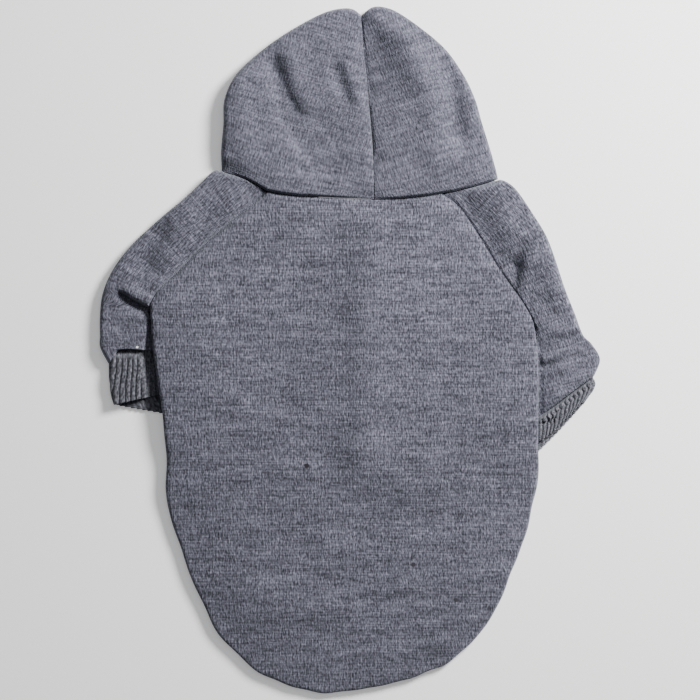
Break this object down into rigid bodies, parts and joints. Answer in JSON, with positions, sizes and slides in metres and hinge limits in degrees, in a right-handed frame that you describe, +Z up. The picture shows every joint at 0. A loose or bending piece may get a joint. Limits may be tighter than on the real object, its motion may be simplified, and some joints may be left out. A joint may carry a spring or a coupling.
{
  "type": "dog hooded sweatshirt",
  "caption": "Small dog's hooded sweatshirt in marl fleece, with raglan sleeves, ribbed cuffs and a rounded hem, laid flat with its back up.",
  "frame": {"origin": "centre of the laid garment's outline, on the surface that it lies on", "axes": "+Z up from the surface, +Y along the back towards the hood, +X across the back"},
  "size_m": [0.2506, 0.3438, 0.0092],
  "materials": {
    "fleece": "matte brushed knit",
    "ribbing": "matte ribbed knit"
  },
  "bodies": {
    "root": {"back_panel": "fleece", "belly_panel": "fleece", "sleeve_left": "fleece", "sleeve_right": "fleece", "cuff_left": "ribbing", "cuff_right": "ribbing", "hood_left": "fleece", "hood_right": "fleece"}
  },
  "joints": []
}
